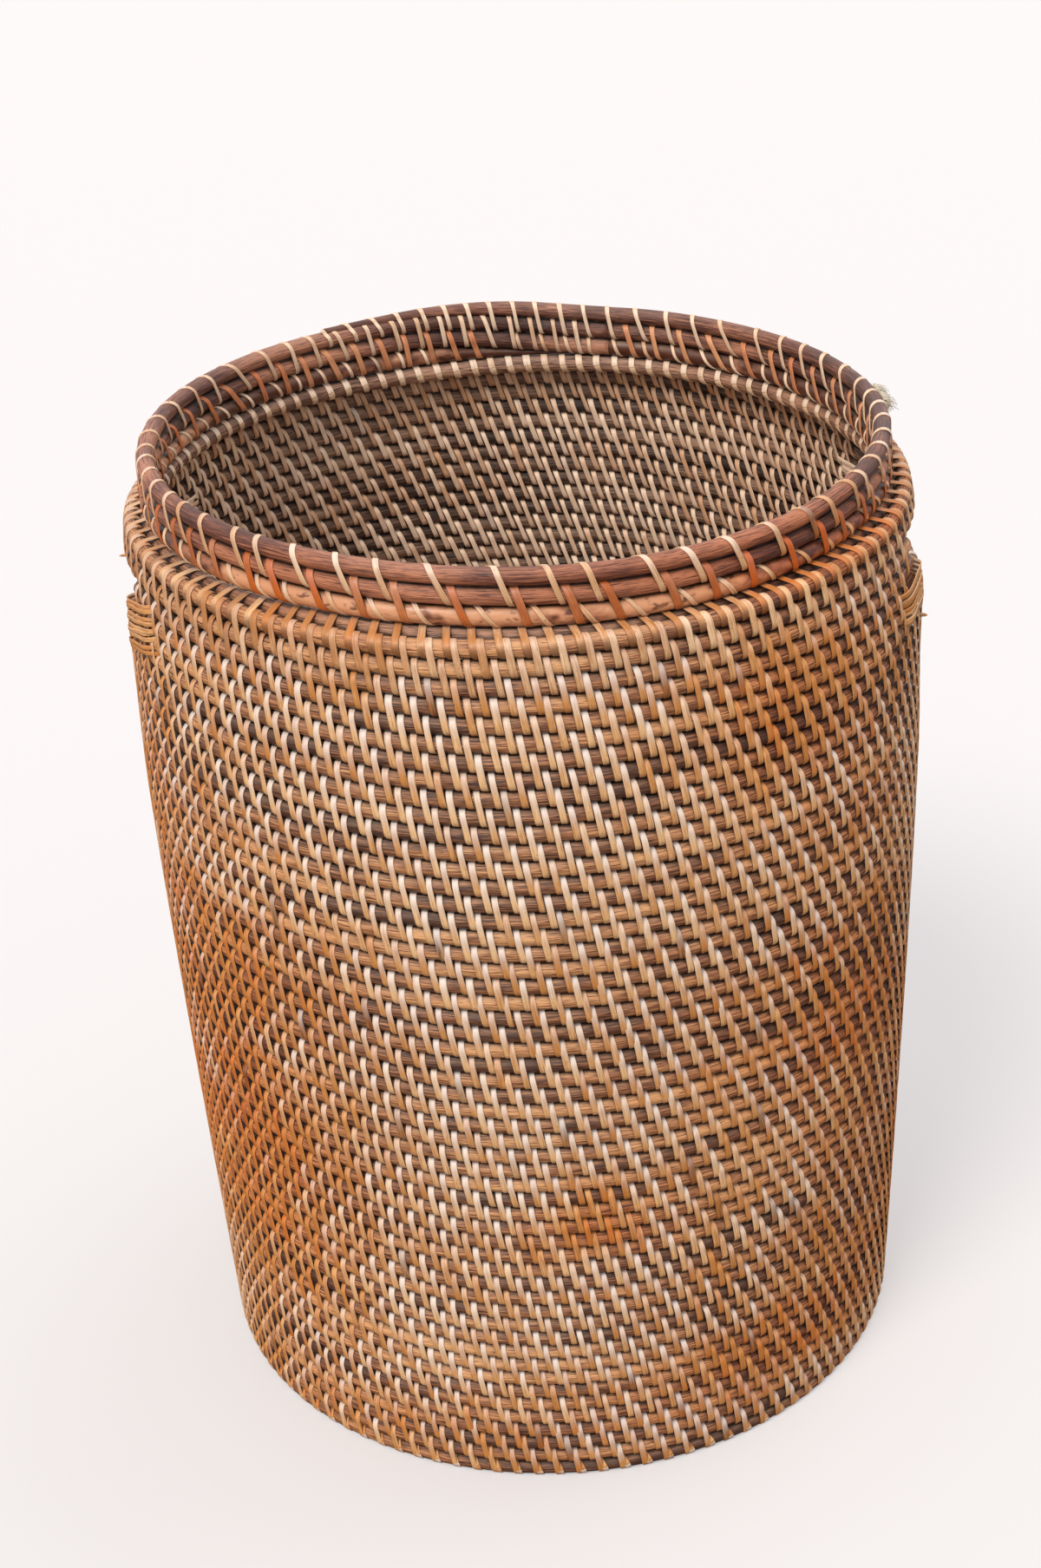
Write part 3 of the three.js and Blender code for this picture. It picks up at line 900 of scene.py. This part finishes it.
def wall_rods():
    for index, node in enumerate(POLES):
        rows = range(index * ROWS_PER_POLE, (index + 1) * ROWS_PER_POLE)
        skins = [rod(ROWS[row], ROD, 1000 + 10 * row) for row in rows]
        if index == 0:
            skins[0]["co"][:, 2] = skins[0]["co"][:, 2].clip(STRIP_THICKNESS, None)
        mesh_piece(f"pole_rods_{index + 1:02d}", skins, WALL_LOOK, [node])
    for side, arc in ARCS.items():
        skins = [rod(ROWS[row], ROD, 1000 + 10 * row, arc) for row in range(POLE_ROWS, GRIP_ROW)]
        mesh_piece(f"hole_side_pole_{side}", skins, WALL_LOOK, [f"hole_side_rods_{side}"])


def rim_rods():
    grip = rod(ROWS[GRIP_ROW], ROD, 2000)
    mesh_piece("grip_pole", [grip], WALL_LOOK, ["grip_rod"])
    shoulder = rod(SHOULDER, ROD, 2010, tone=0.35)
    mesh_piece("shoulder_pole", [shoulder], WALL_LOOK, ["shoulder_rod"])
    ledge = rod(LEDGE, LEDGE_ROD, 2020, tone=0.55, bend=on_ledge)
    mesh_piece("ledge_pole", [ledge], LEDGE_LOOK, ["ledge_rod"])
    ends = (COIL_START, COIL_START + 360, COIL_START + 720, COIL_END)
    for i, (look, tone, front) in enumerate(COLLAR_TURNS):
        skin = coiled_rod(ends[i], ends[i + 1], 2100 + 10 * i, tone, front)
        mesh_piece(f"collar_pole_{i + 1}", [skin], look, [f"collar_rod_0{i + 1}"])


def wall_cane():
    group = 2 * ROWS_PER_POLE
    for first in range(0, POLE_ROWS, group):
        skins = [row_binding(row, 3000 + row) for row in range(max(first, 1), first + group)]
        if first == 0:
            tops, bottoms = row_turns(0, 3000)
            skins.append(wound(ROWS[0], (BASE_REACH, BASE_HEIGHT), (ROD, ROD), tops, bottoms, 3000))
        mesh_piece(f"wall_cane_{first // group + 1}", skins, CANE_LOOK)
    skins = [row_binding(row, 3000 + row, arc) for row in range(POLE_ROWS, GRIP_ROW) for arc in ARCS.values()]
    mesh_piece("hole_side_cane", skins, CANE_LOOK)


def rim_cane():
    skins = [row_binding(GRIP_ROW, 3100, arc) for arc in ARCS.values()]
    tops, bottoms = row_turns(SHOULDER_ROW, 3101)
    skins.append(wound(SHOULDER, ROWS[GRIP_ROW], (ROD, ROD), tops, bottoms, 3101, width=RIM_STRIP_WIDTH))
    back = 2 * math.pi / STITCHES * 0.49
    skins.append(wound(LEDGE, SHOULDER, (LEDGE_ROD, ROD), tops - back, bottoms - back, 3102,
                       width=RIM_STRIP_WIDTH, strand=0.6, bend=on_ledge))
    mesh_piece("shoulder_cane", skins, RIM_CANE_LOOK)


def collar_turns(first, last):
    """Where the pale strips go over their upper rod, between two angles of the coil in degrees."""
    rng = np.random.default_rng(41)
    angles = [first]
    while angles[-1] < last:
        angles.append(angles[-1] + np.interp(angles[-1] % 360, COLLAR_PLACES, COLLAR_SPACINGS))
    angles = np.array(angles)
    # A turn of the coil holds a half strip more than whole ones, so that strips of the next turn lie between
    in_a_turn = np.interp(first + 360, angles, np.arange(len(angles)))
    angles = first + (angles - first) * in_a_turn / (math.floor(in_a_turn) + 0.5)
    jitter = np.interp(angles, (first, first + 50, first + 330, last), (0.03, 0.12, 0.12, 0.03))
    angles = angles + jitter * rng.normal(size=len(angles)).clip(-2, 2) * np.gradient(angles)
    return np.radians(angles[angles < last - 3])


def collar_cane():
    rng = np.random.default_rng(43)
    full_turn = 2 * math.pi
    starts = collar_turns(PALE_START, COIL_END)
    count = len(starts)
    spread = np.diff(np.append(starts, 2 * starts[-1] - starts[-2]))

    def lean(mean, deviation):
        """How far round each strip leans on its way down, from a mean length."""
        return np.clip(rng.normal(mean, deviation, count) / COLLAR_RADIUS, 0.2 * spread, 0.7 * spread)

    rods = (COLLAR_ROD, COLLAR_ROD)
    upper_lean = lean(0.0095, 0.001)
    pale = wound(PAIR_UPPER, PAIR_LOWER, rods, starts, starts + upper_lean, 3200, closed=False,
                 width=PALE_WIDTH, bend=on_coil)
    brown_start = starts - full_turn + upper_lean * 0.5 + 0.0036 / COLLAR_RADIUS
    brown_end = brown_start + lean(0.008, 0.001)
    kept = (np.degrees(brown_start) > BROWN_START) & (np.degrees(brown_start) < BROWN_END)
    brown = wound(PAIR_UPPER, PAIR_LOWER, rods, brown_start[kept], brown_end[kept], 3201, closed=False,
                  width=BROWN_WIDTH, bend=on_coil)
    low_start = starts - 2 * full_turn + upper_lean + 0.5 * (spread - upper_lean)
    low_end = low_start + lean(0.0105, 0.0015)
    kept = (np.degrees(low_start) > SINGLE_START) & (np.degrees(low_start) < SINGLE_END)
    single = wound(PAIR_LOWER, PAIR_LOWER, rods, low_start[kept], low_end[kept], 3202, closed=False,
                   width=SINGLE_WIDTH, bend=on_lowest_turn)
    mesh_piece("collar_cane_pale", [pale, single], PALE_CANE_LOOK)
    mesh_piece("collar_cane_brown", [brown], BROWN_CANE_LOOK)


def hole_lashings():
    for seed, (place, values) in enumerate(LASHINGS.items(), start=61):
        skins = lashing(seed, **values)
        mesh_piece(f"lashing_{place}", skins, CANE_LOOK, [f"edge_lashing_{place}"])


def loose_ends():
    low, high = ROWS[POLE_ROWS - 2], ROWS[GRIP_ROW]
    right = stub(math.radians(-12.5), low[1], low[0] + ROD, length=0.0036, thickness=0.0021, lean=-0.001)
    left = stub(math.radians(190), high[1] - 0.0015, high[0] + ROD, length=0.0032, thickness=0.0016,
                lean=0.001)
    mesh_piece("loose_ends", [right, left], CANE_LOOK)


def frayed_end():
    """A tuft of fine fibres where a length of cane ends on the top rod."""
    rng = np.random.default_rng(91)
    t = np.linspace(0, 1, 7)[:, None]
    skins = []
    for _ in range(TUFT_FIBRES):
        angle = math.radians(rng.uniform(*TUFT_ANGLES))
        out, round_way = outward(angle), onward(angle)
        height = coil_height(angle + 6 * math.pi) + COLLAR_ROD * rng.uniform(-0.2, 0.85)
        start = out * (COLLAR_RADIUS + COLLAR_ROD * 0.8) + [0, 0, height]
        length = TUFT_LENGTH * rng.uniform(0.5, 1.1)
        spread = rng.normal(size=3) * 0.35
        droop = np.array([0, 0, 1]) * (0.35 * t - (0.9 + spread[2]) * t ** 2)
        points = start + length * (out * t * (1 + spread[0]) + round_way * spread[1] * t ** 1.5 + droop)
        ahead = np.gradient(points, axis=0)
        side = unit(np.cross(ahead, round_way))
        up = unit(np.cross(side, ahead))
        thick = TUFT_THICKNESS * rng.uniform(0.6, 1.2) * (1 - 0.6 * t)
        tone = np.tile([rng.uniform(), 0.3, 0.5, 0.5], (len(t), 1))
        skins.append(sweep(points, side, up, circle(4)[None] * thick[:, None], False, tone))
    mesh_piece("frayed_end", skins, FRAYED_LOOK)


# Floor, light and camera

def floor():
    """A pale floor that glows a little, so that shadows on it are weak. It throws no light at the basket."""
    material = bpy.data.materials.new("pale floor")
    material.use_nodes = True
    shader = material.node_tree.nodes["Principled BSDF"]
    shader.inputs["Base Color"].default_value = (*FLOOR_COLOUR, 1)
    shader.inputs["Emission Color"].default_value = (*FLOOR_GLOW, 1)
    shader.inputs["Emission Strength"].default_value = 1.0
    shader.inputs["Roughness"].default_value = 0.9
    bpy.ops.mesh.primitive_plane_add(size=60)
    plane = bpy.context.object
    plane.name = "floor"
    plane.data.materials.append(material)
    plane.visible_diffuse = False
    plane.visible_glossy = False


def sun(name, azimuth, elevation, softness, power, colour):
    data = bpy.data.lights.new(name, "SUN")
    data.angle = math.radians(softness)
    data.energy = power
    data.color = colour
    light = bpy.data.objects.new(name, data)
    light.rotation_euler = (math.radians(90 - elevation), 0, math.radians(azimuth))
    bpy.context.scene.collection.objects.link(light)


def studio():
    """Soft white light from above, darker towards the ground, a warmer light from the front left, and a weak
    light from the back right."""
    world = bpy.data.worlds.new("studio")
    bpy.context.scene.world = world
    world.use_nodes = True
    tree = world.node_tree
    sky = tree.nodes["Background"]
    way = tree.nodes.new("ShaderNodeTexCoord")
    split = tree.nodes.new("ShaderNodeSeparateXYZ")
    ramp = tree.nodes.new("ShaderNodeValToRGB")
    shift = tree.nodes.new("ShaderNodeMapRange")
    shift.inputs["From Min"].default_value = -1
    tree.links.new(way.outputs["Generated"], split.inputs[0])
    tree.links.new(split.outputs["Z"], shift.inputs["Value"])
    tree.links.new(shift.outputs[0], ramp.inputs[0])
    tree.links.new(ramp.outputs[0], sky.inputs["Color"])
    ramp.color_ramp.elements[0].position = 0.3
    ramp.color_ramp.elements[0].color = (0.2, 0.14, 0.1, 1)
    ramp.color_ramp.elements[1].position = 0.5
    ramp.color_ramp.elements[1].color = (0.95, 0.965, 1.0, 1)
    sky.inputs["Strength"].default_value = SKY_POWER
    sun("key", azimuth=-32, elevation=54, softness=22, power=KEY_POWER, colour=(1.0, 0.95, 0.88))
    sun("back light", azimuth=125, elevation=58, softness=40, power=BACK_POWER, colour=(0.93, 0.96, 1.0))
    bpy.context.scene.view_settings.view_transform = "Standard"


def camera():
    ahead = Vector((math.sin(LOOK_ASIDE) * math.cos(LOOK_DOWN), math.cos(LOOK_ASIDE) * math.cos(LOOK_DOWN),
                    -math.sin(LOOK_DOWN)))
    level = Vector((math.cos(LOOK_ASIDE), -math.sin(LOOK_ASIDE), 0))
    right = Matrix.Rotation(ROLL, 3, ahead) @ level
    up = right.cross(ahead)
    data = bpy.data.cameras.new("camera")
    data.sensor_width = SENSOR
    data.lens = FOCAL_LENGTH
    seen_from = bpy.data.objects.new("camera", data)
    turn = Matrix((right, up, -ahead)).transposed()
    seen_from.matrix_world = Matrix.Translation(EYE) @ turn.to_4x4()
    bpy.context.scene.collection.objects.link(seen_from)
    bpy.context.scene.camera = seen_from


camera()
floor()
studio()
base()
wall_rods()
rim_rods()
wall_cane()
rim_cane()
collar_cane()
hole_lashings()
loose_ends()
frayed_end()
